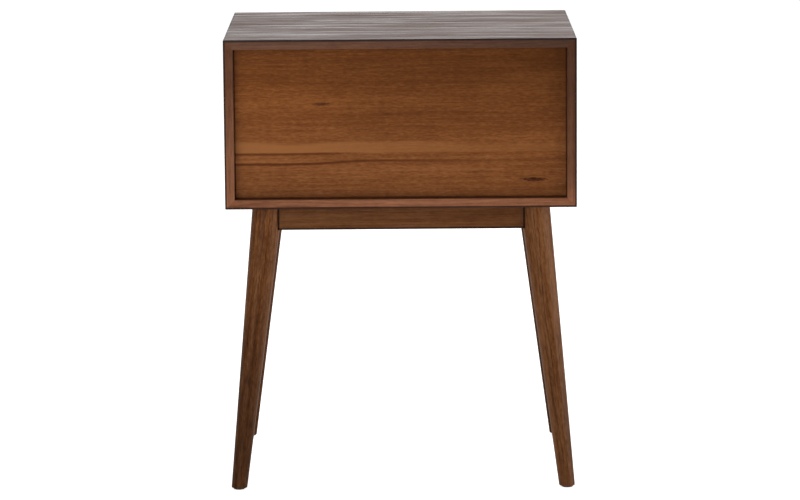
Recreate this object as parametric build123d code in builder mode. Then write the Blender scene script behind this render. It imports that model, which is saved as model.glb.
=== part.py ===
from build123d import *
import os
from math import asin, sin, sqrt

# A nightstand with two drawers in a mitred case, on four turned and splayed legs.
# Millimetres. +Z is up and the floor is z = 0. The drawer fronts face -Y, the finished back faces +Y.
# Left and right are as seen from the front: left is -X, right is +X.
# The origin is the centre of the overall footprint, which includes the knobs.

# ---- driving dimensions ----
INCH = 25.4
CASE_WIDTH = 20 * INCH
CASE_DEPTH = 16 * INCH
TOTAL_HEIGHT = 26 * INCH
BASE_HEIGHT = 415.0
BOARD = 14.0
EDGE_ROUND = 1.2

PANEL_THICKNESS = 6.4
PANEL_TONGUE = 3.0
PANEL_RECESS = 15.0
PANEL_GROOVE = 6.0
PANEL_GAP = 1.5

LEG_TOP_RADIUS = 22.0
LEG_FOOT_RADIUS = 11.5
LEG_TOP_X = 194.5
LEG_TOP_Y = 143.5
LEG_SPLAY = 45.5
LEG_FLAT = 14.3
FOOT_ROUND = 1.5
GLIDE_HEIGHT = 2.0
GLIDE_RADIUS = 8.5
GLIDE_CHAMFER = 1.0
GLIDE_STEM_RADIUS = 2.0
GLIDE_STEM_LENGTH = 15.0
GLIDE_POINT = 3.0

RAIL_HEIGHT = 38.0
RAIL_THICKNESS = 20.0
RAIL_ROUND = 1.0
RAIL_GAP_WIDTH = 1.5
RAIL_GAP_DEPTH = 4.0

SPLINE_THICKNESS = 3.0
SPLINE_WIDTH = 10.0
SPLINE_LENGTH = 330.0
SPLINE_FROM_INNER_CORNER = 7.0
SPLINE_FRONT_MARGIN = 25.0

DOWEL_RADIUS = 4.0
DOWEL_IN_LEG = 10.0
DOWEL_IN_RAIL = 16.0
DOWEL_PITCH = 20.0
DOWEL_CHAMFER = 0.8

BLOCK_LEG = 64.0
BLOCK_HEIGHT = 28.0
HANGER_RADIUS = 3.0
HANGER_BELOW_CASE = 19.0
HANGER_IN_LEG = 22.0
HANGER_POINT = 6.0
HANGER_CHAMFER = 0.8
WASHER_RADIUS = 8.0
WASHER_HOLE_RADIUS = 3.3
WASHER_THICKNESS = 1.5
NUT_RADIUS = 5.8
NUT_FACE_RADIUS = 5.4
NUT_THICKNESS = 5.0
HANGER_END_BEYOND_NUT = 3.0

BLOCK_SCREW_ALONG = 49.0
BLOCK_SCREW_SEAT = 8.2
BLOCK_SCREW_IN_RAIL = 14.0
BLOCK_SCREW_BELOW_CASE = 13.0
COUNTERBORE_RADIUS = 4.6
COUNTERBORE_LENGTH = 22.0
WOOD_SCREW_RADIUS = 2.0
WOOD_SCREW_HEAD_RADIUS = 4.0
WOOD_SCREW_HEAD = 3.0
WOOD_SCREW_POINT = 4.0
CASE_SCREW_OFFSETS = (32.0, 12.2)
CASE_SCREW_IN_BOARD = 10.0

DIVIDER_HEIGHT = 14.0
DIVIDER_DEPTH = 60.0
DIVIDER_DOWEL_INSET = 15.0

DRAWER_SETBACK = 3.0
DRAWER_GAP = 2.0
DRAWER_FRONT_THICKNESS = 16.0
DRAWER_SIDE_THICKNESS = 12.0
DRAWER_SIDE_HEIGHT = 76.0
DRAWER_SIDE_LIFT = 10.0
DRAWER_BOX_DEPTH = 330.0
DRAWER_DADO = 6.0
DRAWER_BOTTOM_THICKNESS = 5.0
DRAWER_BOTTOM_LIFT = 9.0
DRAWER_BOTTOM_GROOVE = 5.0
DRAWER_BACK_DADO = 4.0
DRAWER_BACK_INSET = 8.0
DRAWER_EDGE_ROUND = 1.0
DRAWER_FRONT_ROUND = 1.5

KNOB_LENGTH = 24.0
KNOB_BASE_LENGTH = 1.5
KNOB_BASE_RADIUS = 9.0
KNOB_NECK_AT = 7.2
KNOB_NECK_RADIUS = 6.6
KNOB_FLARE_AT = 13.0
KNOB_FLARE_RADIUS = 12.5
KNOB_RIM_AT = 16.3
KNOB_RIM_RADIUS = 15.0
KNOB_FACE_AT = 19.7
KNOB_FACE_RADIUS = 13.5
KNOB_SCREW_RADIUS = 2.0
KNOB_SCREW_HEAD_RADIUS = 4.5
KNOB_SCREW_HEAD = 2.5
KNOB_SCREW_IN_KNOB = 12.0
KNOB_SCREW_POINT = 0.5

SLIDE_GAP = 12.7
SLIDE_LENGTH = 300.0
SLIDE_SETBACK = 3.0
SLIDE_SHEET = 1.2
SLIDE_HALF_HEIGHT = 17.5
CABINET_MEMBER_DEPTH = 9.5
MIDDLE_MEMBER_FROM = 2.4
MIDDLE_MEMBER_TO = 10.5
DRAWER_MEMBER_FROM = 4.5
BALL_RADIUS = 1.6
BALL_CLEARANCE = 0.03
BALL_COUNT = 5
BALL_PITCH = 24.0
STRIP_WIDTH = 3.6
STRIP_THICKNESS = 1.4
STRIP_LENGTH = 120.0
STRIP_WINDOW_CLEARANCE = 0.05
SLIDE_SCREW_RADIUS = 1.7
SLIDE_SCREW_HEAD_RADIUS = 3.6
SLIDE_SCREW_HEAD = 0.8
SLIDE_SCREW_IN_CASE = 12.0
SLIDE_SCREW_IN_DRAWER = 10.0
SLIDE_SCREW_MARGIN = 30.0
SLIDE_SCREW_POINT = 3.0

# ---- positions worked out from them ----
KNOB_OVERHANG = KNOB_LENGTH - DRAWER_SETBACK
CASE_Y = KNOB_OVERHANG / 2
FRONT_Y = CASE_Y - CASE_DEPTH / 2
REAR_Y = CASE_Y + CASE_DEPTH / 2
CASE_BOTTOM = BASE_HEIGHT
CASE_HEIGHT = TOTAL_HEIGHT - CASE_BOTTOM
CASE_MIDDLE_Z = CASE_BOTTOM + CASE_HEIGHT / 2
INNER_X = CASE_WIDTH / 2 - BOARD
INNER_BOTTOM = CASE_BOTTOM + BOARD
INNER_TOP = TOTAL_HEIGHT - BOARD
PANEL_REAR_Y = REAR_Y - PANEL_RECESS

RAIL_BOTTOM = BASE_HEIGHT - RAIL_HEIGHT
RAIL_MIDDLE_Z = BASE_HEIGHT - RAIL_HEIGHT / 2
RAIL_END_X = LEG_TOP_X - LEG_FLAT
RAIL_END_Y = LEG_TOP_Y - LEG_FLAT
RAIL_INNER_X = LEG_TOP_X - RAIL_THICKNESS / 2
RAIL_INNER_Y = LEG_TOP_Y - RAIL_THICKNESS / 2
BLOCK_BOTTOM = BASE_HEIGHT - BLOCK_HEIGHT
BLOCK_SEAT = (RAIL_THICKNESS + BLOCK_LEG) / 2
DIVIDER_BOTTOM = CASE_MIDDLE_Z - DIVIDER_HEIGHT / 2

DRAWER_FACE_Y = FRONT_Y + DRAWER_SETBACK
DRAWER_INNER_Y = DRAWER_FACE_Y + DRAWER_FRONT_THICKNESS
DRAWER_REAR_Y = DRAWER_INNER_Y + DRAWER_BOX_DEPTH
DRAWER_SIDE_X = INNER_X - SLIDE_GAP
OPENING_HEIGHT = (INNER_TOP - INNER_BOTTOM - DIVIDER_HEIGHT) / 2
OPENING_BOTTOM = {"upper": DIVIDER_BOTTOM + DIVIDER_HEIGHT, "lower": INNER_BOTTOM}
SLIDE_FRONT_Y = DRAWER_INNER_Y + SLIDE_SETBACK

SIDES = {"left": -1, "right": 1}
ENDS = {"front": -1, "rear": 1}
CORNERS = {f"{end}_{side}": (SIDES[side], ENDS[end]) for end in ENDS for side in SIDES}

os.makedirs("parts", exist_ok=True)


# ---- helpers ----
def save(piece, name):
    """Label a finished piece and write it as its own STEP file."""
    piece.part.label = name
    export_step(piece.part, f"parts/{name}.step")


def block(low, high, mode=Mode.ADD):
    """A box between two opposite corners, in the current part."""
    size = [b - a for a, b in zip(low, high)]
    centre = [(a + b) / 2 for a, b in zip(low, high)]
    with Locations(tuple(centre)):
        return Box(*size, mode=mode)


def section_at(y):
    """A plane across the case at y. Its sketches are in X and Z, and extrude(-depth) goes to the rear."""
    return Plane.XZ.offset(-y)


def facing(x, y, z, direction):
    """The plane through a point whose normal is a horizontal or vertical direction."""
    across = (1, 0, 0) if direction[2] else (0, 0, 1)
    return Plane(origin=(x, y, z), x_dir=across, z_dir=direction)


def screw(length, radius, head_radius, head, point):
    """A screw along +Z: its head ends at z = 0, its shank runs to z = length, with a cross recess."""
    rim = head / 4
    recess = (head_radius, head_radius / 5)
    with BuildPart() as piece:
        with BuildSketch(Plane.XZ):
            with BuildLine():
                Polyline(
                    (0, -head),
                    (head_radius - rim, -head),
                    (head_radius, rim - head),
                    (head_radius, 0),
                    (radius, 0),
                    (radius, length - point),
                    (0, length),
                    close=True,
                )
            make_face()
        revolve(axis=Axis.Z)
        with Locations((0, 0, -head)):
            Box(*recess, head, mode=Mode.SUBTRACT)
            Box(*recess[::-1], head, mode=Mode.SUBTRACT)
    return piece.part


def placed(shape, planes):
    """The same shape on each of several planes, as one group of separate solids."""
    with BuildPart() as group:
        with Locations(*planes):
            add(shape)
    return group


# ---- fasteners of the base and case ----
def dowel_shape():
    """A dowel pin along +Z, from its end in the receiving piece to its end in the rail."""
    with BuildPart() as pin:
        length = DOWEL_IN_LEG + DOWEL_IN_RAIL
        Cylinder(DOWEL_RADIUS, length, align=(Align.CENTER, Align.CENTER, Align.MIN))
        chamfer(pin.edges().filter_by(GeomType.CIRCLE), DOWEL_CHAMFER)
    return pin.part


def dowel_planes():
    """Where the dowels start, and the way they run, for the rails and for the divider."""
    planes = []
    for sx, sy in CORNERS.values():
        for z in (RAIL_MIDDLE_Z - DOWEL_PITCH / 2, RAIL_MIDDLE_Z + DOWEL_PITCH / 2):
            x_start = sx * (RAIL_END_X + DOWEL_IN_LEG)
            y_start = CASE_Y + sy * (RAIL_END_Y + DOWEL_IN_LEG)
            planes.append(facing(x_start, CASE_Y + sy * LEG_TOP_Y, z, (-sx, 0, 0)))
            planes.append(facing(sx * LEG_TOP_X, y_start, z, (0, -sy, 0)))
    for sx in SIDES.values():
        for inset in (DIVIDER_DOWEL_INSET, DIVIDER_DEPTH - DIVIDER_DOWEL_INSET):
            x_start = sx * (INNER_X + DOWEL_IN_LEG)
            planes.append(facing(x_start, DRAWER_FACE_Y + inset, CASE_MIDDLE_Z, (-sx, 0, 0)))
    return planes


def hanger_bolt_shape():
    """A hanger bolt along +Z, with z = 0 where it leaves the corner block, and its point in the leg."""
    start = -(WASHER_THICKNESS + NUT_THICKNESS + HANGER_END_BEYOND_NUT)
    end = (BLOCK_SEAT - LEG_FLAT) * sqrt(2) + HANGER_IN_LEG
    with BuildPart() as bolt:
        with BuildSketch(Plane.XZ):
            with BuildLine():
                Polyline(
                    (0, start),
                    (HANGER_RADIUS - HANGER_CHAMFER, start),
                    (HANGER_RADIUS, start + HANGER_CHAMFER),
                    (HANGER_RADIUS, end - HANGER_POINT),
                    (0, end),
                    close=True,
                )
            make_face()
        revolve(axis=Axis.Z)
    return bolt.part


def washer_shape():
    """A flat washer on the bolt, against the corner block."""
    with BuildPart() as washer:
        with BuildSketch():
            Circle(WASHER_RADIUS)
            Circle(WASHER_HOLE_RADIUS, mode=Mode.SUBTRACT)
        extrude(amount=-WASHER_THICKNESS)
    return washer.part


def nut_shape():
    """A hexagon nut on the bolt, against the washer, with its corners chamfered at 30 degrees."""
    with BuildPart() as nut:
        with BuildSketch(Plane.XY.offset(-WASHER_THICKNESS)):
            RegularPolygon(NUT_RADIUS, 6)
            Circle(HANGER_RADIUS, mode=Mode.SUBTRACT)
        extrude(amount=-NUT_THICKNESS)
        with Locations((0, 0, -WASHER_THICKNESS - NUT_THICKNESS)):
            Cone(
                NUT_FACE_RADIUS,
                NUT_FACE_RADIUS + NUT_THICKNESS * sqrt(3),
                NUT_THICKNESS,
                align=(Align.CENTER, Align.CENTER, Align.MIN),
                mode=Mode.INTERSECT,
            )
    return nut.part


def glide_shape():
    """A nail-on floor glide: a flat disc with an eased rim, and a stem up into the leg."""
    with BuildPart() as glide:
        with BuildSketch(Plane.XZ):
            with BuildLine():
                Polyline(
                    (0, 0),
                    (GLIDE_RADIUS - GLIDE_CHAMFER, 0),
                    (GLIDE_RADIUS, GLIDE_CHAMFER),
                    (GLIDE_RADIUS, GLIDE_HEIGHT),
                    (GLIDE_STEM_RADIUS, GLIDE_HEIGHT),
                    (GLIDE_STEM_RADIUS, GLIDE_HEIGHT + GLIDE_STEM_LENGTH - GLIDE_POINT),
                    (0, GLIDE_HEIGHT + GLIDE_STEM_LENGTH),
                    close=True,
                )
            make_face()
        revolve(axis=Axis.Z)
    return glide.part


def splines():
    """The loose tongues across the case's four mitres, set near the inner corner of each."""
    offset = SPLINE_FROM_INNER_CORNER / sqrt(2)
    with BuildPart() as tongues:
        with BuildSketch(section_at(FRONT_Y + SPLINE_FRONT_MARGIN)):
            for sx in (-1, 1):
                for z, sz in ((INNER_BOTTOM, -1), (INNER_TOP, 1)):
                    with Locations((sx * (INNER_X + offset), z + sz * offset)):
                        Rectangle(SPLINE_WIDTH, SPLINE_THICKNESS, rotation=-45 * sx * sz)
        extrude(amount=-SPLINE_LENGTH)
    return tongues


hanger_planes = [
    facing(
        sx * (LEG_TOP_X - BLOCK_SEAT),
        CASE_Y + sy * (LEG_TOP_Y - BLOCK_SEAT),
        BASE_HEIGHT - HANGER_BELOW_CASE,
        (sx, sy, 0),
    )
    for sx, sy in CORNERS.values()
]
block_screw_z = BASE_HEIGHT - BLOCK_SCREW_BELOW_CASE
block_screw_planes = []
case_screw_planes = []
for sx, sy in CORNERS.values():
    seat_x = sx * (RAIL_INNER_X - BLOCK_SCREW_SEAT)
    seat_y = CASE_Y + sy * (RAIL_INNER_Y - BLOCK_SCREW_SEAT)
    along_x = sx * (RAIL_INNER_X - BLOCK_SCREW_ALONG)
    along_y = CASE_Y + sy * (RAIL_INNER_Y - BLOCK_SCREW_ALONG)
    block_screw_planes.append(facing(along_x, seat_y, block_screw_z, (0, sy, 0)))
    block_screw_planes.append(facing(seat_x, along_y, block_screw_z, (sx, 0, 0)))
    for in_x, in_y in (CASE_SCREW_OFFSETS, CASE_SCREW_OFFSETS[::-1]):
        screw_x = sx * (RAIL_INNER_X - in_x)
        screw_y = CASE_Y + sy * (RAIL_INNER_Y - in_y)
        case_screw_planes.append(
            facing(screw_x, screw_y, BLOCK_BOTTOM + WOOD_SCREW_HEAD, (0, 0, 1))
        )

wood_screw = screw(
    BLOCK_SCREW_SEAT + BLOCK_SCREW_IN_RAIL,
    WOOD_SCREW_RADIUS,
    WOOD_SCREW_HEAD_RADIUS,
    WOOD_SCREW_HEAD,
    WOOD_SCREW_POINT,
)
long_wood_screw = screw(
    BLOCK_HEIGHT - WOOD_SCREW_HEAD + CASE_SCREW_IN_BOARD,
    WOOD_SCREW_RADIUS,
    WOOD_SCREW_HEAD_RADIUS,
    WOOD_SCREW_HEAD,
    WOOD_SCREW_POINT,
)

joint_dowels = placed(dowel_shape(), dowel_planes())
save(joint_dowels, "joint_dowels")
hanger_bolts = placed(hanger_bolt_shape(), hanger_planes)
save(hanger_bolts, "hanger_bolts")
save(placed(washer_shape(), hanger_planes), "hanger_bolt_washers")
save(placed(nut_shape(), hanger_planes), "hanger_bolt_nuts")
corner_block_screws = placed(wood_screw, block_screw_planes)
save(corner_block_screws, "corner_block_screws")
case_screws = placed(long_wood_screw, case_screw_planes)
save(case_screws, "case_screws")
mitre_splines = splines()
save(mitre_splines, "mitre_splines")

glide_planes = [
    facing(sx * (LEG_TOP_X + LEG_SPLAY), CASE_Y + sy * (LEG_TOP_Y + LEG_SPLAY), 0, (0, 0, 1))
    for sx, sy in CORNERS.values()
]
foot_glides = placed(glide_shape(), glide_planes)
save(foot_glides, "foot_glides")


# ---- drawer slides ----
# Across each slide, u runs from the case side at 0 to the drawer side at SLIDE_GAP.
# Between two members there is a row of balls above and a row below, in strips that hold them apart.
def next_race(half_height):
    """The half height of the member inside one, past its sheet and a row of balls."""
    return half_height - SLIDE_SHEET - 2 * (BALL_RADIUS + BALL_CLEARANCE)


MIDDLE_HALF_HEIGHT = next_race(SLIDE_HALF_HEIGHT)
DRAWER_MEMBER_HALF_HEIGHT = next_race(MIDDLE_HALF_HEIGHT)
STRIP_U = {
    "outer": (MIDDLE_MEMBER_FROM + CABINET_MEMBER_DEPTH) / 2,
    "inner": (DRAWER_MEMBER_FROM + MIDDLE_MEMBER_TO) / 2,
}
BALL_ROW = {
    "outer": MIDDLE_HALF_HEIGHT + BALL_CLEARANCE + BALL_RADIUS,
    "inner": DRAWER_MEMBER_HALF_HEIGHT + BALL_CLEARANCE + BALL_RADIUS,
}


def slide_z(level):
    """The height of a drawer's slides, at the middle of its sides."""
    return OPENING_BOTTOM[level] + DRAWER_SIDE_LIFT + DRAWER_SIDE_HEIGHT / 2


def channel(side, level, web_u, lip_u, half_height):
    """A rolled channel along Y, open from its web towards its lips."""
    sx = SIDES[side]
    inner_u = web_u + SLIDE_SHEET * (1 if lip_u > web_u else -1)
    outer_low, outer_high = sorted(sx * (INNER_X - u) for u in (web_u, lip_u))
    inner_low, inner_high = sorted(sx * (INNER_X - u) for u in (inner_u, lip_u))
    z = slide_z(level)
    rear = SLIDE_FRONT_Y + SLIDE_LENGTH
    hollow = half_height - SLIDE_SHEET
    with BuildPart() as member:
        block((outer_low, SLIDE_FRONT_Y, z - half_height), (outer_high, rear, z + half_height))
        block((inner_low, SLIDE_FRONT_Y, z - hollow), (inner_high, rear, z + hollow), Mode.SUBTRACT)
        fillet(member.edges().filter_by(Axis.Y).sort_by(Axis.X)[:2], SLIDE_SHEET / 4)
    return member


def ball_strips(level, race):
    """The ball strips of one race for both of a drawer's slides: strips with windows, and the balls."""
    middle_y = SLIDE_FRONT_Y + SLIDE_LENGTH / 2
    rows = [
        (sx * (INNER_X - STRIP_U[race]), middle_y, slide_z(level) + sz * BALL_ROW[race])
        for sx in SIDES.values()
        for sz in (-1, 1)
    ]
    ball_ys = [BALL_PITCH * (i - (BALL_COUNT - 1) / 2) for i in range(BALL_COUNT)]
    centres = [(x, y + ball_y, z) for x, y, z in rows for ball_y in ball_ys]
    with BuildPart() as strips:
        with Locations(*rows):
            Box(STRIP_WIDTH, STRIP_LENGTH, STRIP_THICKNESS)
        with Locations(*centres):
            Cylinder(BALL_RADIUS + STRIP_WINDOW_CLEARANCE, STRIP_THICKNESS, mode=Mode.SUBTRACT)
            Sphere(BALL_RADIUS)
    return strips


def slide_screw_planes(level, seat_u, outward):
    """Seats of a drawer's slide screws, in its cabinet members (outward) or in its drawer members."""
    last = SLIDE_LENGTH - SLIDE_SCREW_MARGIN
    return [
        facing(sx * (INNER_X - seat_u), SLIDE_FRONT_Y + along, slide_z(level), (outward * sx, 0, 0))
        for sx in SIDES.values()
        for along in (SLIDE_SCREW_MARGIN, SLIDE_LENGTH / 2, last)
    ]


case_slide_screw, drawer_slide_screw = (
    screw(
        length,
        SLIDE_SCREW_RADIUS,
        SLIDE_SCREW_HEAD_RADIUS,
        SLIDE_SCREW_HEAD,
        SLIDE_SCREW_POINT,
    )
    for length in (SLIDE_SCREW_IN_CASE, SLIDE_SCREW_IN_DRAWER)
)
cabinet_slide_screws = placed(
    case_slide_screw,
    slide_screw_planes("upper", SLIDE_SHEET, 1) + slide_screw_planes("lower", SLIDE_SHEET, 1),
)
save(cabinet_slide_screws, "cabinet_slide_screws")

drawer_slide_screws = {}
for level in OPENING_BOTTOM:
    drawer_slide_screws[level] = placed(
        drawer_slide_screw, slide_screw_planes(level, SLIDE_GAP - SLIDE_SHEET, -1)
    )
    save(drawer_slide_screws[level], f"{level}_drawer_slide_screws")
    for side in SIDES:
        cabinet_member = channel(side, level, 0, CABINET_MEMBER_DEPTH, SLIDE_HALF_HEIGHT)
        with cabinet_member:
            add(cabinet_slide_screws.part, mode=Mode.SUBTRACT)
        save(cabinet_member, f"{level}_{side}_cabinet_slide")
        middle_member = channel(
            side, level, MIDDLE_MEMBER_FROM, MIDDLE_MEMBER_TO, MIDDLE_HALF_HEIGHT
        )
        save(middle_member, f"{level}_{side}_middle_slide")
        drawer_member = channel(
            side, level, SLIDE_GAP, DRAWER_MEMBER_FROM, DRAWER_MEMBER_HALF_HEIGHT
        )
        with drawer_member:
            add(drawer_slide_screws[level].part, mode=Mode.SUBTRACT)
        save(drawer_member, f"{level}_{side}_drawer_slide")
    for race in STRIP_U:
        save(ball_strips(level, race), f"{level}_{race}_ball_strips")


# ---- the case ----
def back_panel_shape(mode=Mode.ADD):
    """The back panel: a tongue out to the bottom of its groove, and a face with a gap round it."""
    front = PANEL_REAR_Y - PANEL_THICKNESS
    for reach, rear in ((PANEL_GROOVE, front + PANEL_TONGUE), (-PANEL_GAP, PANEL_REAR_Y)):
        block(
            (-INNER_X - reach, front, INNER_BOTTOM - reach),
            (INNER_X + reach, rear, INNER_TOP + reach),
            mode,
        )


def case_board(name, wedge):
    """One board of the mitred case: the part of the whole frame that lies inside its wedge."""
    with BuildPart() as board:
        with BuildSketch(section_at(FRONT_Y)):
            with Locations((0, CASE_MIDDLE_Z)):
                Rectangle(CASE_WIDTH, CASE_HEIGHT)
                Rectangle(CASE_WIDTH - 2 * BOARD, CASE_HEIGHT - 2 * BOARD, mode=Mode.SUBTRACT)
        extrude(amount=-CASE_DEPTH)
        rims = board.edges().filter_by(Axis.Y, reverse=True)
        corner_edges = board.edges().filter_by(Axis.Y)
        centre = (0, CASE_Y, CASE_MIDDLE_Z)
        fillet(rims + corner_edges.sort_by_distance(centre)[-4:], EDGE_ROUND)
        with BuildSketch(section_at(FRONT_Y)):
            with BuildLine():
                Polyline(*wedge, close=True)
            make_face()
        extrude(amount=-CASE_DEPTH, mode=Mode.INTERSECT)
        back_panel_shape(Mode.SUBTRACT)
        add(mitre_splines.part, mode=Mode.SUBTRACT)
        if name.endswith("side_board"):
            add(cabinet_slide_screws.part, mode=Mode.SUBTRACT)
            add(joint_dowels.part, mode=Mode.SUBTRACT)
        if name == "bottom_board":
            add(case_screws.part, mode=Mode.SUBTRACT)
    save(board, name)


outer_x = CASE_WIDTH / 2
inner_corners = {
    "top": [(-INNER_X, INNER_TOP), (INNER_X, INNER_TOP)],
    "bottom": [(-INNER_X, INNER_BOTTOM), (INNER_X, INNER_BOTTOM)],
}
outer_corners_xz = {
    "top": [(-outer_x, TOTAL_HEIGHT), (outer_x, TOTAL_HEIGHT)],
    "bottom": [(-outer_x, CASE_BOTTOM), (outer_x, CASE_BOTTOM)],
}
for edge in ("top", "bottom"):
    case_board(f"{edge}_board", outer_corners_xz[edge] + inner_corners[edge][::-1])
for index, side in enumerate(SIDES):
    wedge = [
        outer_corners_xz["top"][index],
        inner_corners["top"][index],
        inner_corners["bottom"][index],
        outer_corners_xz["bottom"][index],
    ]
    case_board(f"{side}_side_board", wedge)

with BuildPart() as back_panel:
    back_panel_shape()
save(back_panel, "back_panel")

with BuildPart() as drawer_divider:
    block(
        (-INNER_X, DRAWER_FACE_Y, DIVIDER_BOTTOM),
        (INNER_X, DRAWER_FACE_Y + DIVIDER_DEPTH, DIVIDER_BOTTOM + DIVIDER_HEIGHT),
    )
    fillet(drawer_divider.edges().filter_by(Axis.X).sort_by(Axis.Y)[:2], DRAWER_EDGE_ROUND)
    add(joint_dowels.part, mode=Mode.SUBTRACT)
save(drawer_divider, "drawer_divider")


# ---- the base ----
def leg(corner, sx, sy):
    """A turned leg: a cone along its splayed axis, cut level at both ends, with flats for the rails."""
    top_centre = Vector(sx * LEG_TOP_X, CASE_Y + sy * LEG_TOP_Y, BASE_HEIGHT)
    foot_centre = top_centre + Vector(sx * LEG_SPLAY, sy * LEG_SPLAY, -BASE_HEIGHT)
    run = top_centre - foot_centre
    spare = LEG_TOP_RADIUS
    reach = 2 * LEG_TOP_RADIUS
    taper = (LEG_TOP_RADIUS - LEG_FOOT_RADIUS) / run.length
    axis_plane = Plane(origin=foot_centre - run.normalized() * spare, z_dir=run)
    with BuildPart() as turned_leg:
        with Locations(axis_plane):
            Cone(
                LEG_FOOT_RADIUS - taper * spare,
                LEG_TOP_RADIUS + taper * spare,
                run.length + 2 * spare,
                align=(Align.CENTER, Align.CENTER, Align.MIN),
            )
        split(bisect_by=Plane.XY.offset(BASE_HEIGHT), keep=Keep.BOTTOM)
        split(bisect_by=Plane.XY.offset(GLIDE_HEIGHT), keep=Keep.TOP)
        fillet(turned_leg.edges().group_by(Axis.Z)[0], FOOT_ROUND)
        for low, high in (
            ((0, LEG_TOP_Y - reach), (RAIL_END_X, LEG_TOP_Y + reach)),
            ((LEG_TOP_X - reach, 0), (LEG_TOP_X + reach, RAIL_END_Y)),
        ):
            xs = sorted((sx * low[0], sx * high[0]))
            ys = sorted((CASE_Y + sy * low[1], CASE_Y + sy * high[1]))
            block((xs[0], ys[0], RAIL_BOTTOM), (xs[1], ys[1], BASE_HEIGHT), Mode.SUBTRACT)
        add(joint_dowels.part, mode=Mode.SUBTRACT)
        add(hanger_bolts.part, mode=Mode.SUBTRACT)
        add(foot_glides.part, mode=Mode.SUBTRACT)
    save(turned_leg, f"{corner}_leg")


def corner_block(corner, sx, sy):
    """A glue block in a rail corner, notched round the leg, bored for its bolt and its screws."""
    outline = [
        (RAIL_INNER_X - BLOCK_LEG, RAIL_INNER_Y),
        (RAIL_END_X, RAIL_INNER_Y),
        (RAIL_END_X, RAIL_END_Y),
        (RAIL_INNER_X, RAIL_END_Y),
        (RAIL_INNER_X, RAIL_INNER_Y - BLOCK_LEG),
    ]
    with BuildPart() as glue_block:
        with BuildSketch(Plane.XY.offset(BLOCK_BOTTOM)):
            with BuildLine():
                Polyline(*[(sx * x, CASE_Y + sy * y) for x, y in outline], close=True)
            make_face()
        extrude(amount=BLOCK_HEIGHT)
        add(hanger_bolts.part, mode=Mode.SUBTRACT)
        with Locations(*block_screw_planes):
            Cylinder(
                COUNTERBORE_RADIUS,
                COUNTERBORE_LENGTH,
                align=(Align.CENTER, Align.CENTER, Align.MAX),
                mode=Mode.SUBTRACT,
            )
        with Locations(*case_screw_planes):
            Cylinder(
                WOOD_SCREW_HEAD_RADIUS,
                WOOD_SCREW_HEAD,
                align=(Align.CENTER, Align.CENTER, Align.MAX),
                mode=Mode.SUBTRACT,
            )
        add(corner_block_screws.part, mode=Mode.SUBTRACT)
        add(case_screws.part, mode=Mode.SUBTRACT)
    save(glue_block, f"{corner}_corner_block")


def rail(name, centre, length, turn):
    """A rail between two legs, with eased lower edges, and set in at its ends for a shadow gap."""
    middle = Location((*centre, RAIL_MIDDLE_Z), (0, 0, turn))
    along = Axis.Y if turn else Axis.X
    with BuildPart() as bar:
        with Locations(middle):
            Box(length - 2 * RAIL_GAP_WIDTH, RAIL_THICKNESS, RAIL_HEIGHT)
        fillet(bar.edges().filter_by(along).group_by(Axis.Z)[0], RAIL_ROUND)
        with Locations(middle):
            Box(length, RAIL_THICKNESS - 2 * RAIL_GAP_DEPTH, RAIL_HEIGHT)
        add(joint_dowels.part, mode=Mode.SUBTRACT)
        add(corner_block_screws.part, mode=Mode.SUBTRACT)
    save(bar, name)


for corner, (sx, sy) in CORNERS.items():
    leg(corner, sx, sy)
    corner_block(corner, sx, sy)
for end, sy in ENDS.items():
    rail(f"{end}_rail", (0, CASE_Y + sy * LEG_TOP_Y), 2 * RAIL_END_X, turn=0)
for side, sx in SIDES.items():
    rail(f"{side}_rail", (sx * LEG_TOP_X, CASE_Y), 2 * RAIL_END_Y, turn=90)


# ---- the drawers ----
def knob_plane(z):
    """The plane of a knob's outline: its X runs out from the drawer front, its Y is the radius."""
    return Plane(origin=(0, DRAWER_FACE_Y, z), x_dir=(0, -1, 0), z_dir=(-1, 0, 0))


def knob(level, z, knob_screw):
    """A turned mushroom knob, bored for its screw."""
    crown = KNOB_LENGTH - KNOB_FACE_AT
    crown_sphere = (KNOB_FACE_RADIUS**2 + crown**2) / (2 * crown)
    crown_middle_radius = crown_sphere * sin(asin(KNOB_FACE_RADIUS / crown_sphere) / 2)
    crown_middle = sqrt(crown_sphere**2 - crown_middle_radius**2) + KNOB_LENGTH - crown_sphere
    flare = (KNOB_FLARE_AT, KNOB_FLARE_RADIUS)
    face_edge = (KNOB_FACE_AT, KNOB_FACE_RADIUS)
    with BuildPart() as turned_knob:
        with BuildSketch(knob_plane(z)):
            with BuildLine():
                base = Polyline((0, 0), (0, KNOB_BASE_RADIUS), (KNOB_BASE_LENGTH, KNOB_BASE_RADIUS))
                neck = ThreePointArc(base @ 1, (KNOB_NECK_AT, KNOB_NECK_RADIUS), flare)
                rim = ThreePointArc(neck @ 1, (KNOB_RIM_AT, KNOB_RIM_RADIUS), face_edge)
                face = ThreePointArc(rim @ 1, (crown_middle, crown_middle_radius), (KNOB_LENGTH, 0))
                Line(face @ 1, base @ 0)
            make_face()
        revolve(axis=Axis((0, DRAWER_FACE_Y, z), (0, 1, 0)))
        add(knob_screw.part, mode=Mode.SUBTRACT)
    save(turned_knob, f"{level}_drawer_knob")


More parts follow.
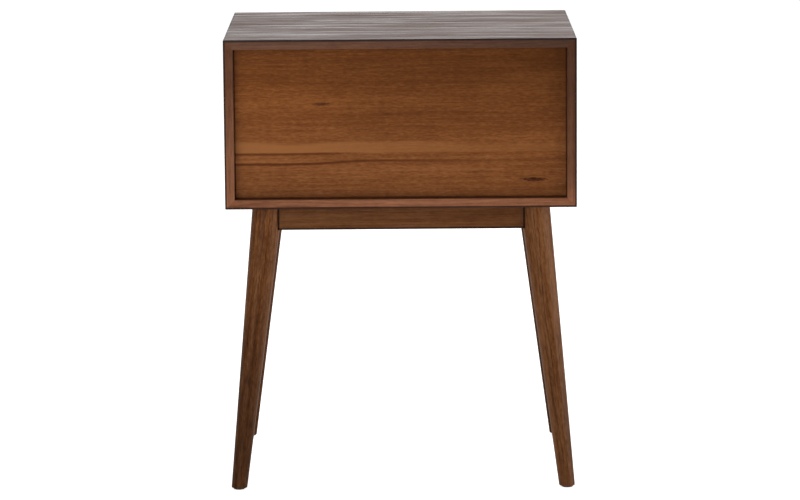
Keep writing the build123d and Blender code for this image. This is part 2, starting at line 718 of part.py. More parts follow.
def drawer(level):
    """One drawer: a front, two sides, a back and a bottom, with its knob and screws."""
    base = OPENING_BOTTOM[level]
    front_z = base + DRAWER_GAP
    front_top = base + OPENING_HEIGHT - DRAWER_GAP
    side_z = base + DRAWER_SIDE_LIFT
    side_top = side_z + DRAWER_SIDE_HEIGHT
    bottom_z = side_z + DRAWER_BOTTOM_LIFT
    bottom_top = bottom_z + DRAWER_BOTTOM_THICKNESS
    knob_z = (front_z + front_top) / 2
    inner_x = DRAWER_SIDE_X - DRAWER_SIDE_THICKNESS
    side_front_y = DRAWER_INNER_Y - DRAWER_DADO
    back_rear_y = DRAWER_REAR_Y - DRAWER_BACK_INSET
    back_front_y = back_rear_y - DRAWER_SIDE_THICKNESS

    def bottom_panel(mode=Mode.ADD):
        reach = inner_x + DRAWER_BOTTOM_GROOVE
        block(
            (-reach, DRAWER_INNER_Y - DRAWER_BOTTOM_GROOVE, bottom_z),
            (reach, DRAWER_REAR_Y, bottom_top),
            mode,
        )

    def back_board(mode=Mode.ADD):
        reach = inner_x + DRAWER_BACK_DADO
        block((-reach, back_front_y, bottom_top), (reach, back_rear_y, side_top), mode)

    def side_board(sx, mode=Mode.ADD):
        xs = sorted((sx * inner_x, sx * DRAWER_SIDE_X))
        return block((xs[0], side_front_y, side_z), (xs[1], DRAWER_REAR_Y, side_top), mode)

    shape = screw(
        DRAWER_FRONT_THICKNESS + KNOB_SCREW_IN_KNOB,
        KNOB_SCREW_RADIUS,
        KNOB_SCREW_HEAD_RADIUS,
        KNOB_SCREW_HEAD,
        KNOB_SCREW_POINT,
    )
    knob_screw = placed(shape, [facing(0, DRAWER_INNER_Y, knob_z, (0, -1, 0))])
    save(knob_screw, f"{level}_knob_screw")
    knob(level, knob_z, knob_screw)

    with BuildPart() as front:
        front_x = INNER_X - DRAWER_GAP
        block((-front_x, DRAWER_FACE_Y, front_z), (front_x, DRAWER_INNER_Y, front_top))
        fillet(front.faces().sort_by(Axis.Y)[0].edges(), DRAWER_FRONT_ROUND)
        for sx in SIDES.values():
            side_board(sx, Mode.SUBTRACT)
        bottom_panel(Mode.SUBTRACT)
        add(knob_screw.part, mode=Mode.SUBTRACT)
    save(front, f"{level}_drawer_front")

    for side, sx in SIDES.items():
        with BuildPart() as wall:
            side_board(sx)
            fillet(wall.edges().filter_by(Axis.Y).group_by(Axis.Z)[-1], DRAWER_EDGE_ROUND)
            bottom_panel(Mode.SUBTRACT)
            back_board(Mode.SUBTRACT)
            add(drawer_slide_screws[level].part, mode=Mode.SUBTRACT)
        save(wall, f"{level}_drawer_{side}_side")

    with BuildPart() as back:
        back_board()
    save(back, f"{level}_drawer_back")

    with BuildPart() as bottom:
        bottom_panel()
    save(bottom, f"{level}_drawer_bottom")


for level in OPENING_BOTTOM:
    drawer(level)
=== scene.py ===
import math

import bpy
from mathutils import Matrix, Vector


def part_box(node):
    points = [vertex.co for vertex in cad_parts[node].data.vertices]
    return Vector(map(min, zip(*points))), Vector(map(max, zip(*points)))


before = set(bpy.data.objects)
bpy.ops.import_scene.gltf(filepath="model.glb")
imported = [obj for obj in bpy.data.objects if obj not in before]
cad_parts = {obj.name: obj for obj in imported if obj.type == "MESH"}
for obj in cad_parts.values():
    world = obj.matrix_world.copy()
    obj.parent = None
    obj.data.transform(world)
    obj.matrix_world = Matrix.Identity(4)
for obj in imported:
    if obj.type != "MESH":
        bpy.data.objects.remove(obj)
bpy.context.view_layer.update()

# ---- places taken from the imported parts, in metres ----
CASE_LOW = Vector(map(min, *[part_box(f"{side}_side_board")[0] for side in ("left", "right")]))
CASE_HIGH = Vector(map(max, *[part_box(f"{side}_side_board")[1] for side in ("left", "right")]))
PANEL_LOW, PANEL_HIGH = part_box("back_panel")
BASE_HEIGHT = CASE_LOW.z
CORNERS = {
    f"{end}_{side}": (sx, sy)
    for end, sy in (("front", -1), ("rear", 1))
    for side, sx in (("left", -1), ("right", 1))
}


# ---- camera ----
# It stands behind the piece, a little above it, and looks slightly down at the finished back.
CAMERA_DISTANCE = 5.616
CAMERA_SIDE = -0.0062
CAMERA_HEIGHT = 1.2574
CAMERA_YAW = math.radians(-0.084)
CAMERA_PITCH = math.radians(9.135)
CAMERA_ROLL = math.radians(-0.45)
CAMERA_LENS_MM = 177.03
CAMERA_SENSOR_MM = 36
CAMERA_FAR_CLIP = 200


def make_camera():
    """A long lens looking along -Y, then yawed, pitched down and rolled by the angles above."""
    camera = bpy.data.objects.new("camera", bpy.data.cameras.new("camera"))
    camera.data.lens = CAMERA_LENS_MM
    camera.data.sensor_width = CAMERA_SENSOR_MM
    camera.data.clip_end = CAMERA_FAR_CLIP
    level = Matrix(((-1, 0, 0), (0, 0, 1), (0, 1, 0)))
    yaw = Matrix.Rotation(-CAMERA_YAW, 3, "Z")
    pitch = Matrix.Rotation(-CAMERA_PITCH, 3, "X")
    roll = Matrix.Rotation(CAMERA_ROLL, 3, "Z")
    turn = yaw @ level @ pitch @ roll
    camera.matrix_world = turn.to_4x4()
    camera.location = (CAMERA_SIDE, CASE_HIGH.y + CAMERA_DISTANCE, CAMERA_HEIGHT)
    bpy.context.scene.collection.objects.link(camera)
    bpy.context.scene.camera = camera


# ---- node helper ----
class Nodes:
    """One material's node tree. Each method adds a node and returns its output."""

    def __init__(self, name):
        self.material = bpy.data.materials.new(name)
        self.material.use_nodes = True
        self.tree = self.material.node_tree
        self.tree.nodes.clear()
        self.position = self.add("ShaderNodeTexCoord").outputs["Object"]

    def add(self, kind, inputs=None, **settings):
        node = self.tree.nodes.new(kind)
        for key, value in settings.items():
            setattr(node, key, value)
        for key, value in (inputs or {}).items():
            self.put(value, node.inputs[key])
        return node

    def put(self, value, socket):
        if isinstance(value, bpy.types.NodeSocket):
            self.tree.links.new(value, socket)
        else:
            socket.default_value = value

    def math(self, operation, a, b=0.0, c=0.0, clamp=False):
        node = self.add("ShaderNodeMath", {0: a, 1: b, 2: c}, operation=operation, use_clamp=clamp)
        return node.outputs[0]

    def parts(self, vector):
        return self.add("ShaderNodeSeparateXYZ", {0: vector}).outputs

    def joined(self, x, y, z):
        return self.add("ShaderNodeCombineXYZ", {0: x, 1: y, 2: z}).outputs[0]

    def scaled(self, vector, scale, offset=(0, 0, 0)):
        return self.add(
            "ShaderNodeVectorMath", {0: vector, 1: scale, 2: offset}, operation="MULTIPLY_ADD"
        ).outputs[0]

    def noise(self, vector, detail=2.0, roughness=0.5):
        """Noise of unit scale, so that the vector carries the frequencies."""
        return self.add(
            "ShaderNodeTexNoise",
            {"Vector": vector, "Scale": 1, "Detail": detail, "Roughness": roughness},
        ).outputs["Fac"]

    def between(self, value, low, high, to_low=0.0, to_high=1.0):
        """The value carried smoothly from low..high to to_low..to_high, and held outside."""
        return self.add(
            "ShaderNodeMapRange",
            {0: value, 1: low, 2: high, 3: to_low, 4: to_high},
            interpolation_type="SMOOTHSTEP",
        ).outputs[0]

    def ramp(self, value, stops):
        node = self.add("ShaderNodeValToRGB", {0: value})
        elements = node.color_ramp.elements
        elements[0].position, elements[0].color = stops[0][0], (*stops[0][1], 1)
        elements[1].position, elements[1].color = stops[-1][0], (*stops[-1][1], 1)
        for position, colour in stops[1:-1]:
            elements.new(position).color = (*colour, 1)
        return node.outputs[0]

    def mix(self, share, a, b, blend="MIX"):
        node = self.add("ShaderNodeMix", data_type="RGBA", blend_type=blend)
        node.clamp_factor = True
        for value, socket in ((share, node.inputs[0]), (a, node.inputs[6]), (b, node.inputs[7])):
            self.put((*value, 1) if isinstance(value, tuple) else value, socket)
        return node.outputs[2]

    def finish(self, inputs, **fixed):
        """The Principled shader and the output."""
        shader = self.add("ShaderNodeBsdfPrincipled", inputs)
        for key, value in fixed.items():
            shader.inputs[key.replace("_", " ")].default_value = value
        self.add("ShaderNodeOutputMaterial", {"Surface": shader.outputs[0]})
        return self.material


# ---- wood ----
# Colours are dark, middle and light, in linear light.
CASE_STAIN = ((0.040, 0.014, 0.007), (0.098, 0.036, 0.0165), (0.170, 0.072, 0.036))
PANEL_STAIN = ((0.046, 0.011, 0.0015), (0.108, 0.032, 0.0056), (0.196, 0.067, 0.015))
LEG_STAIN = ((0.022, 0.007, 0.0018), (0.078, 0.026, 0.0065), (0.138, 0.056, 0.020))
# Painted shade along the outer edges of the case boards, rails, divider and drawer fronts.
ARRIS_PAINTED_SHADE = (0.010, 0.004, 0.003)
PALE_WOOD = ((0.36, 0.23, 0.12), (0.53, 0.38, 0.22), (0.64, 0.49, 0.31))
AXES = {"X": (0, 1, 2), "Y": (1, 0, 2), "Z": (2, 0, 1)}
ARRIS_WIDTH = 0.0034
ARRIS_CORE = 0.0019
ARRIS_SHARE = 0.85
SEED_STEPS = (3.7, 1.3, 2.1)
LATEWOOD_RISE = (0.35, 0.9)
LATEWOOD_FALL = (1.0, 0.93)
RING_DRIFT = 0.045
RING_WANDER = 0.004
PORE_SHARE = 0.5
TONE_WEIGHTS = (0.75, 0.62, 0.55, 0.36)  # of the broad, streak, hair and mottle layers
STAIN_STOPS = (0.06, 0.5, 0.94)
PORE_DEPTH = -0.4
HAIR_HEIGHT = 0.2
STREAK_HEIGHT = 1.1
WOOD_BUMP = {"Strength": 0.5, "Distance": 0.0006}
STREAK_ROUGHNESS = 0.3
PORE_ROUGHNESS = 0.15
LEAST_ROUGHNESS = 0.12


def arris(n, box):
    """1 along the outer edges of a box, and 0 on the rest of its surface: where painted shade
    darkens the edges.
    """
    near = 0.0
    for value, low, high in zip(n.parts(n.position), *box):
        off = n.math("ABSOLUTE", n.math("SUBTRACT", value, (low + high) / 2))
        half = (high - low) / 2
        near = n.math("ADD", n.between(off, half - ARRIS_WIDTH, half - ARRIS_CORE), near)
    return n.math("SUBTRACT", near, 1.0, clamp=True)


def wood(
    name,
    stain,
    grain="X",
    seed=0.0,
    lean=(0.0, 0.0),
    pith=(0.35, -0.22),
    ring_width=0.0055,
    rings=0.22,
    contrast=1.0,
    lacquer=0.36,
    shine=0.06,
    swell=0.0,
    patches=0.0,
    flecks=0.3,
    box=None,
    shade=None,
):
    """Lacquered solid wood: growth rings round a pith, streaks, pores and mottling.

    box gives the piece painted shade along its edges, and shade is a function that changes its
    colour by place.
    """
    n = Nodes(name)
    place = n.parts(n.position)
    along, first, second = (place[i] for i in AXES[grain])
    across = n.math("MULTIPLY_ADD", along, lean[0], first)
    depth = n.math("MULTIPLY_ADD", along, lean[1], second)
    local = n.joined(along, across, depth)
    offset = tuple(seed * step for step in SEED_STEPS)

    drift = n.noise(n.scaled(local, (2.2, 14, 14), offset), detail=2)
    wander = n.noise(n.scaled(local, (9, 60, 60), offset), detail=1)
    ring_x = n.math("SUBTRACT", across, pith[0])
    ring_y = n.math("SUBTRACT", depth, pith[1])
    squares = n.math("ADD", n.math("POWER", ring_x, 2), n.math("POWER", ring_y, 2))
    distance = n.math("SQRT", squares)
    distance = n.math("MULTIPLY_ADD", drift, RING_DRIFT, distance)
    distance = n.math("MULTIPLY_ADD", wander, RING_WANDER, distance)
    phase = n.math("FRACT", n.math("DIVIDE", distance, ring_width))
    rise = n.between(phase, *LATEWOOD_RISE)
    latewood = n.math("MULTIPLY", rise, n.between(phase, *LATEWOOD_FALL))
    ring_strength = n.between(n.noise(n.scaled(local, (1.5, 55, 55), offset)), 0.35, 0.75)
    latewood = n.math("MULTIPLY", latewood, ring_strength)

    broad = n.noise(n.scaled(local, (1.3, 26, 26), offset), detail=2)
    streaks = n.noise(n.scaled(local, (5, 170, 170), offset), detail=3, roughness=0.6)
    hairs = n.noise(n.scaled(local, (22, 900, 900), offset), detail=2, roughness=0.6)
    mottle = n.noise(n.scaled(local, (38, 60, 60), offset), detail=3, roughness=0.6)
    pore_noise = n.noise(n.scaled(local, (48, 1150, 1150), offset), detail=1)
    pore_zone = n.noise(n.scaled(local, (6, 70, 70), offset), detail=1)
    pores = n.math("MULTIPLY", n.between(pore_noise, 0.60, 0.72), n.between(pore_zone, 0.3, 0.6))

    tone = n.math("MULTIPLY_ADD", latewood, -rings, rings / 3)
    fleck = n.noise(n.scaled(local, (110, 420, 420), offset), detail=2, roughness=0.6)
    layers = list(zip((broad, streaks, hairs, mottle), TONE_WEIGHTS)) + [(fleck, flecks)]
    for layer, weight in layers:
        centred = n.math("SUBTRACT", layer, 0.5)
        tone = n.math("MULTIPLY_ADD", centred, weight, tone)
    tone = n.math("MULTIPLY_ADD", tone, contrast, 0.5)
    colour = n.ramp(tone, tuple(zip(STAIN_STOPS, stain)))
    colour = n.mix(n.math("MULTIPLY", pores, PORE_SHARE * contrast), colour, stain[0])
    if shade:
        colour = shade(n, colour)
    # painted shade along the outer edges
    if box:
        colour = n.mix(n.math("MULTIPLY", arris(n, box), ARRIS_SHARE), colour, ARRIS_PAINTED_SHADE)

    height = n.math("MULTIPLY_ADD", pores, PORE_DEPTH, n.math("MULTIPLY", hairs, HAIR_HEIGHT))
    height = n.math("MULTIPLY_ADD", streaks, STREAK_HEIGHT, height)
    height = n.math("MULTIPLY_ADD", broad, swell, height)
    bump = n.add("ShaderNodeBump", {"Height": height, **WOOD_BUMP})
    roughness = n.math("SUBTRACT", streaks, 0.5)
    roughness = n.math("MULTIPLY_ADD", roughness, STREAK_ROUGHNESS, lacquer)
    roughness = n.math("MULTIPLY_ADD", pores, PORE_ROUGHNESS, roughness)
    if patches:
        patch = n.noise(n.scaled(local, (6, 75, 75), offset), detail=3, roughness=0.65)
        roughness = n.math("MULTIPLY_ADD", n.math("SUBTRACT", patch, 0.5), patches, roughness)
        roughness = n.math("MAXIMUM", roughness, LEAST_ROUGHNESS)
    return n.finish(
        {"Base Color": colour, "Roughness": roughness, "Normal": bump.outputs[0]},
        Specular_IOR_Level=shine,
    )


def toned(n, colour, red, green, blue):
    """A colour multiplied by a tone for each channel."""
    return n.mix(1.0, colour, n.joined(red, green, blue), "MULTIPLY")


# ---- painted light and shade on the case's rear edges and the legs (on the legs partly the stain) ----
# Painted light and shade on the rear edges: lighter at the bottom and on the bottom board, darker
# towards the top and on the -X board.
RIM_PAINTED_LIGHT_LOW = 1.38
RIM_PAINTED_SHADE_HIGH = 0.74
RIM_PAINTED_FLOOR_LIGHT = 0.2
FAR_SIDE_PAINTED_SHADE = -0.36
FAR_SIDE_REACH = 0.35
# Partly the stain and partly painted shade and light on the legs: each leg darker towards the
# floor at its own levels, the front legs darkest.
FOOT_TONE_FROM = 0.03
FRONT_LEG_STAIN_AND_PAINTED_SHADE = (0.6, 0.85)
REAR_LEG_STAIN_AND_PAINTED_LIGHT = {"rear_right": (0.6, 1.25), "rear_left": (0.85, 1.12)}


def rear_rim_painted_light(n, colour):
    """The case's rear edges with painted light and shade: lighter at the bottom and on the bottom
    board, darker towards the top and on the -X board.
    """
    x, y, z = n.parts(n.position)
    value = n.between(z, BASE_HEIGHT, CASE_HIGH.z - 0.01, RIM_PAINTED_LIGHT_LOW, RIM_PAINTED_SHADE_HIGH)
    on_bottom = n.between(z, BASE_HEIGHT + 0.016, BASE_HEIGHT + 0.010)
    value = n.math("MULTIPLY_ADD", on_bottom, RIM_PAINTED_FLOOR_LIGHT, value)
    far_side = n.between(x, CASE_LOW.x + FAR_SIDE_REACH, CASE_LOW.x)
    above_bottom = n.between(z, BASE_HEIGHT + 0.014, BASE_HEIGHT + 0.05)
    far_side = n.math("MULTIPLY", far_side, above_bottom)
    far_side = n.math("MULTIPLY_ADD", far_side, FAR_SIDE_PAINTED_SHADE, 1.0)
    value = n.math("MULTIPLY", value, far_side)
    on_rim = n.between(y, CASE_HIGH.y - 0.003, CASE_HIGH.y - 0.001)
    value = n.math("MULTIPLY_ADD", n.math("SUBTRACT", value, 1.0), on_rim, 1.0)
    return toned(n, colour, value, value, value)


def leg_stain_and_painted_shade(low, high):
    """A leg's colour runs from low at the floor to high under the case: partly the stain darkening
    to the foot, partly painted shade and light, with its own levels for each leg.
    """

    def shade(n, colour):
        z = n.parts(n.position)[2]
        value = n.between(z, FOOT_TONE_FROM, BASE_HEIGHT, low, high)
        return toned(n, colour, value, value, value)

    return shade


# ---- the back panel's figure, and painted light and shade across it ----
PANEL_TONE = 0.65
PANEL_TO_LEFT = 0.24
PANEL_DOWN = 0.63
PANEL_BOTH = -0.28
PANEL_GLOW = 0.24
PANEL_GLOW_CENTRE = (0.23, 0.55)
PANEL_GLOW_RADII = (0.16, 0.07)
PANEL_DOWN_GREEN = 0.10
PANEL_DOWN_BLUE = 0.6
PANEL_WAVE = 0.005
PANEL_BAND_HEIGHTS = (0.4955, 0.5045)
PANEL_BAND_COLOUR = (0.222, 0.086, 0.026)
PANEL_LINE_COLOUR = (0.055, 0.0125, 0.0015)
FIRST_LINE_BELOW_BAND = 0.0022
FIRST_LINE_SHARE = 0.7
SECOND_LINE_HEIGHTS = (0.4788, 0.4830)
SECOND_LINE_SHARES = (0.25, 0.8)
KNOT_COLOUR = (0.026, 0.006, 0.0015)
KNOT_RAGGEDNESS = 4.0
# Each knot is x, z, half length, half height and strength.
PANEL_KNOTS = ((0.114, 0.5652, 0.012, 0.0023, 0.72), (-0.193, 0.4539, 0.019, 0.0025, 0.95))


def from_centre(n, value, centre, radius):
    """The square of a value's distance from a centre, in radii."""
    return n.math("POWER", n.math("DIVIDE", n.math("SUBTRACT", value, centre), radius), 2)


def panel_painted_light(n, colour, to_left, down, x, z):
    """Painted light and shade on the panel: lighter towards the +X side, lighter and paler lower
    down, darker towards the top, with a painted glow of light on the +X side.
    """
    glow_x, glow_z = (
        from_centre(n, value, centre, radius)
        for value, centre, radius in zip((x, z), PANEL_GLOW_CENTRE, PANEL_GLOW_RADII)
    )
    glow = n.between(n.math("ADD", glow_x, glow_z), 1.6, 0.0)
    value = n.math("MULTIPLY_ADD", to_left, PANEL_TO_LEFT, PANEL_TONE)
    value = n.math("MULTIPLY_ADD", down, PANEL_DOWN, value)
    value = n.math("MULTIPLY_ADD", n.math("MULTIPLY", to_left, down), PANEL_BOTH, value)
    value = n.math("MULTIPLY_ADD", glow, PANEL_GLOW, value)
    green = n.math("MULTIPLY", value, n.math("MULTIPLY_ADD", down, PANEL_DOWN_GREEN, 1.0))
    blue = n.math("MULTIPLY", value, n.math("MULTIPLY_ADD", down, PANEL_DOWN_BLUE, 1.0))
    return toned(n, colour, value, green, blue)


def panel_figure(n, colour):
    """The panel's painted light and shade, its light band, its two dark lines and its small knots.
    """
    x, _, z = n.parts(n.position)
    to_left = n.between(x, PANEL_LOW.x, PANEL_HIGH.x)
    down = n.between(z, PANEL_HIGH.z - 0.02, PANEL_LOW.z + 0.05)
    # Painted light and shade across the panel, with a painted glow of light on the +X side.
    colour = panel_painted_light(n, colour, to_left, down, x, z)

    wave = n.math("SUBTRACT", n.noise(n.scaled(n.position, (5, 0, 12)), detail=2), 0.5)
    level = n.math("MULTIPLY_ADD", wave, PANEL_WAVE, z)
    low, high = PANEL_BAND_HEIGHTS
    soft_top = n.math("MULTIPLY_ADD", wave, 0.03, level)
    above = n.between(level, low - 0.0015, low + 0.0005)
    band = n.math("MULTIPLY", above, n.between(soft_top, high + 0.008, high))
    band_share = n.math("MULTIPLY_ADD", to_left, 0.62, 0.28)
    colour = n.mix(n.math("MULTIPLY", band, band_share), colour, PANEL_BAND_COLOUR)

    off_first = n.math("ABSOLUTE", n.math("SUBTRACT", level, low - FIRST_LINE_BELOW_BAND))
    first = n.math("MULTIPLY", n.between(off_first, 0.0026, 0.0006), n.between(x, 0.04, 0.12))
    colour = n.mix(n.math("MULTIPLY", first, FIRST_LINE_SHARE), colour, PANEL_LINE_COLOUR)
    step = n.between(x, 0.14, 0.03, *SECOND_LINE_HEIGHTS)
    off_second = n.math("ABSOLUTE", n.math("SUBTRACT", level, step))
    second = n.between(off_second, 0.0028, 0.0006)
    second = n.math("MULTIPLY", second, n.between(x, -0.2, 0.1, *SECOND_LINE_SHARES))
    colour = n.mix(second, colour, PANEL_LINE_COLOUR)

    ragged = n.noise(n.scaled(n.position, (160, 0, 900)), detail=2)
    for knot_x, knot_z, half_length, half_height, strength in PANEL_KNOTS:
        across = from_centre(n, x, knot_x, half_length)
        far = n.math("ADD", across, from_centre(n, level, knot_z, half_height))
        far = n.math("MULTIPLY_ADD", n.math("SUBTRACT", ragged, 0.5), KNOT_RAGGEDNESS, far)
        colour = n.mix(n.between(far, 1.6, 0.1, 0, strength), colour, KNOT_COLOUR)
    return colour


# ---- metals and plastic ----
STEEL_DRAWING = (4000, 60, 4000)
STEEL_DARK = 0.78
STEEL_CLOUD_SHARE = 0.35
STEEL_CLOUD_ROUGHNESS = 0.16
NYLON_DARK = (0.010, 0.008, 0.007)
NYLON_LIGHT = (0.028, 0.023, 0.020)


def rolled_steel(name, colour, roughness):
    """Zinc-plated steel, with fine drawing lines along Y and faint cloudy spangle."""
    n = Nodes(name)
    lines = n.noise(n.scaled(n.position, STEEL_DRAWING), detail=2)
    cloud = n.noise(n.scaled(n.position, (180, 180, 180)), detail=3)
    shade = n.math("MULTIPLY_ADD", n.math("SUBTRACT", cloud, 0.5), STEEL_CLOUD_SHARE, 0.5)
    dark = tuple(c * STEEL_DARK for c in colour)
    base = n.mix(shade, dark, colour)
    bump = n.add("ShaderNodeBump", {"Height": lines, "Strength": 0.25, "Distance": 0.0001})
    smoothest = roughness - STEEL_CLOUD_ROUGHNESS / 2
    rough = n.math("MULTIPLY_ADD", cloud, STEEL_CLOUD_ROUGHNESS, smoothest)
    return n.finish(
        {"Base Color": base, "Roughness": rough, "Normal": bump.outputs[0]}, Metallic=1.0
    )


def nylon(name):
    """Matt dark nylon, faintly speckled."""
    n = Nodes(name)
    speck = n.noise(n.scaled(n.position, (1500, 1500, 1500)), detail=2)
    base = n.mix(speck, NYLON_DARK, NYLON_LIGHT)
    bump = n.add("ShaderNodeBump", {"Height": speck, "Strength": 0.3, "Distance": 0.0001})
    rough = n.math("MULTIPLY_ADD", speck, 0.2, 0.45)
    return n.finish({"Base Color": base, "Roughness": rough, "Normal": bump.outputs[0]})


# ---- materials on the CAD nodes ----
def paint(node, material):
    """Put one material in every slot of a CAD node."""
    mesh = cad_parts[node].data
    for index in range(len(mesh.materials)):
        mesh.materials[index] = material


LEG_SPLAY = 0.0455
TOP_FINISH = {"lacquer": 0.38, "shine": 0.16, "swell": 4.5, "patches": 1.0}
FRONT_LEG_FINISH = {"lacquer": 0.55, "shine": 0.015}
REAR_LEG_FINISH = {"lacquer": 0.34, "shine": 0.055}


def paint_case():
    """The case boards, the back panel and the divider."""
    case_box = (CASE_LOW, CASE_HIGH)
    for index, (board, grain, pith) in enumerate(
        (
            ("top_board", "X", (0.2, -0.4)),
            ("bottom_board", "X", (0.35, -0.22)),
            ("left_side_board", "Z", (-0.6, 0.1)),
            ("right_side_board", "Z", (0.6, 0.1)),
        )
    ):
        material = wood(
            f"wood_{board}",
            CASE_STAIN,
            grain,
            1.0 + index,
            pith=pith,
            box=case_box,
            # the rear edges of each board get painted light and shade
            shade=rear_rim_painted_light,
            **(TOP_FINISH if board == "top_board" else {}),
        )
        paint(board, material)
    panel = wood(
        "wood_back_panel",
        PANEL_STAIN,
        seed=5.0,
        pith=(-0.3, 0.1),
        rings=0.14,
        contrast=0.66,
        flecks=1.0,
        shine=0.05,
        shade=panel_figure,
    )
    paint("back_panel", panel)
    divider_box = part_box("drawer_divider")
    paint("drawer_divider", wood("wood_divider", CASE_STAIN, seed=6.0, box=divider_box))


def paint_base():
    """The rails, the legs and the corner blocks."""
    for index, (rail, grain) in enumerate(
        (("front_rail", "X"), ("rear_rail", "X"), ("left_rail", "Y"), ("right_rail", "Y"))
    ):
        paint(rail, wood(f"wood_{rail}", LEG_STAIN, grain, 7.0 + index, box=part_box(rail)))
    drift = LEG_SPLAY / BASE_HEIGHT
    for index, (corner, (sx, sy)) in enumerate(CORNERS.items()):
        lean = (sx * drift, sy * drift)
        material = wood(
            f"wood_{corner}_leg",
            LEG_STAIN,
            "Z",
            11.0 + index,
            lean=lean,
            contrast=1.25,
            flecks=0.7,
            # painted shade and light on each leg, partly the stain darkening to the foot
            shade=leg_stain_and_painted_shade(*REAR_LEG_STAIN_AND_PAINTED_LIGHT.get(corner, FRONT_LEG_STAIN_AND_PAINTED_SHADE)),
            **(FRONT_LEG_FINISH if sy < 0 else REAR_LEG_FINISH),
        )
        paint(f"{corner}_leg", material)
        paint(f"{corner}_corner_block", wood(f"wood_{corner}_block", PALE_WOOD, "X", 15.0 + index))


def paint_drawers():
    """The drawers and their knobs."""
    for index, level in enumerate(("upper", "lower")):
        seed = 20.0 + 8 * index
        front = wood(
            f"wood_{level}_front",
            CASE_STAIN,
            seed=seed,
            pith=(-0.3, 0.2),
            box=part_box(f"{level}_drawer_front"),
        )
        paint(f"{level}_drawer_front", front)
        paint(f"{level}_drawer_knob", wood(f"wood_{level}_knob", LEG_STAIN, "X", seed + 1))
        for offset, part, grain in (
            (2, "left_side", "Y"),
            (3, "right_side", "Y"),
            (4, "back", "X"),
            (5, "bottom", "X"),
        ):
            material = wood(f"wood_{level}_{part}", PALE_WOOD, grain, seed + offset)
            paint(f"{level}_drawer_{part}", material)


def paint_joinery():
    """The dowels and splines, which are hidden inside the joints."""
    pale = wood("wood_hidden_joinery", PALE_WOOD, "X", 40.0)
    for node in ("joint_dowels", "mitre_splines"):
        paint(node, pale)


def paint_metal():
    """The slides, the balls, the fasteners and the nylon glides."""
    slides = rolled_steel("steel_slides", (0.44, 0.45, 0.47), 0.34)
    balls = rolled_steel("steel_balls", (0.55, 0.55, 0.57), 0.20)
    fasteners = rolled_steel("steel_fasteners", (0.46, 0.45, 0.42), 0.38)
    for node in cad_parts:
        if node.endswith(("cabinet_slide", "middle_slide", "drawer_slide")):
            paint(node, slides)
        elif node.endswith("ball_strips"):
            paint(node, balls)
        elif node.endswith(("screws", "knob_screw")) or node.startswith("hanger"):
            paint(node, fasteners)
    paint("foot_glides", nylon("glide_nylon"))


# ---- studio ----
def area_light(name, place, target, size, power):
    """A rectangular soft light that faces a point."""
    light = bpy.data.lights.new(name, "AREA")
    light.shape = "RECTANGLE"
    light.size, light.size_y = size
    light.energy = power
    holder = bpy.data.objects.new(name, light)
    holder.location = place
    holder.rotation_mode = "QUATERNION"
    holder.rotation_quaternion = (Vector(target) - Vector(place)).to_track_quat("-Z", "Y")
    bpy.context.scene.collection.objects.link(holder)


FLOOR_HALF = 30
FLOOR_GLOW = 0.80
FLOOR_GLOW_CUT = -0.65


def make_floor():
    """White paper that glows to the camera, and less so to reflections."""
    mesh = bpy.data.meshes.new("floor")
    corners = [(x, y, 0) for x, y in ((-1, -1), (1, -1), (1, 1), (-1, 1))]
    mesh.from_pydata([Vector(corner) * FLOOR_HALF for corner in corners], [], [(0, 1, 2, 3)])
    floor = bpy.data.objects.new("floor", mesh)
    bpy.context.scene.collection.objects.link(floor)
    n = Nodes("floor_paper")
    tint = n.noise(n.scaled(n.position, (3, 3, 3)), detail=2)
    base = n.mix(tint, (0.78, 0.78, 0.78), (0.82, 0.82, 0.82))
    glossy = n.add("ShaderNodeLightPath").outputs["Is Glossy Ray"]
    glow = n.math("MULTIPLY_ADD", glossy, FLOOR_GLOW_CUT, FLOOR_GLOW)
    paper = n.finish(
        {"Base Color": base, "Emission Strength": glow},
        Emission_Color=(1, 1, 1, 1),
        Roughness=0.9,
        Specular_IOR_Level=0.0,
    )
    mesh.materials.append(paper)


WALL_LIGHT = 1.1
ROOM_LIGHT = 0.18
CEILING_SHARE = 0.35


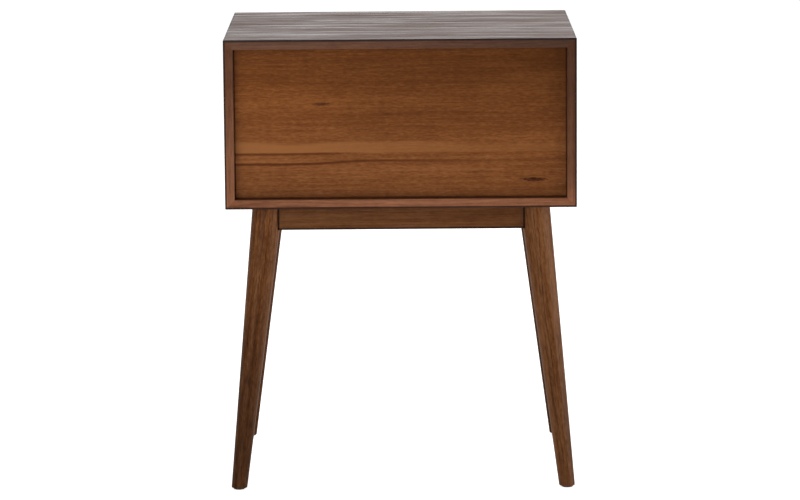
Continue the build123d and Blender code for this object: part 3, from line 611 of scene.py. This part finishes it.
def world_fade(tree, value, limits):
    """A smooth change with a direction's part, by limits of from, to, low and high."""
    fade = tree.nodes.new("ShaderNodeMapRange")
    fade.interpolation_type = "SMOOTHSTEP"
    tree.links.new(value, fade.inputs[0])
    for socket, limit in zip((1, 2, 3, 4), limits):
        fade.inputs[socket].default_value = limit
    return fade.outputs[0]


def make_world():
    """A bright wall beyond the drawers, a dim room beyond the back, and white to the camera."""
    world = bpy.data.worlds.new("studio")
    world.use_nodes = True
    tree = world.node_tree
    background = tree.nodes["Background"]
    direction = tree.nodes.new("ShaderNodeTexCoord").outputs["Generated"]
    parts = tree.nodes.new("ShaderNodeSeparateXYZ")
    tree.links.new(direction, parts.inputs[0])
    lit = tree.nodes.new("ShaderNodeMath")
    lit.operation = "MULTIPLY"
    wall = world_fade(tree, parts.outputs[1], (-0.55, 0.45, WALL_LIGHT, ROOM_LIGHT))
    ceiling = world_fade(tree, parts.outputs[2], (0.3, 0.7, 1.0, CEILING_SHARE))
    tree.links.new(wall, lit.inputs[0])
    tree.links.new(ceiling, lit.inputs[1])
    seen = tree.nodes.new("ShaderNodeMix")
    camera_ray = tree.nodes.new("ShaderNodeLightPath").outputs["Is Camera Ray"]
    tree.links.new(camera_ray, seen.inputs[0])
    tree.links.new(lit.outputs[0], seen.inputs[2])
    seen.inputs[3].default_value = 1.0
    tree.links.new(seen.outputs[0], background.inputs[1])
    background.inputs[0].default_value = (1, 1, 1, 1)
    bpy.context.scene.world = world


def make_lights():
    """A key over the finished back, a low light on the -X side, and one over the drawers."""
    middle = (0, 0, 0.45)
    area_light("key", (1.6, 3.6, 1.4), middle, (2.6, 2.2), 78)
    area_light("side", (-3.0, 1.2, 0.32), (0, 0.4, 0.32), (3.0, 0.6), 50)
    area_light("front", (-1.7, -2.4, 2.9), middle, (1.6, 1.6), 75)
    bpy.context.scene.view_settings.view_transform = "Standard"


make_camera()
paint_case()
paint_base()
paint_drawers()
paint_joinery()
paint_metal()
make_floor()
make_world()
make_lights()
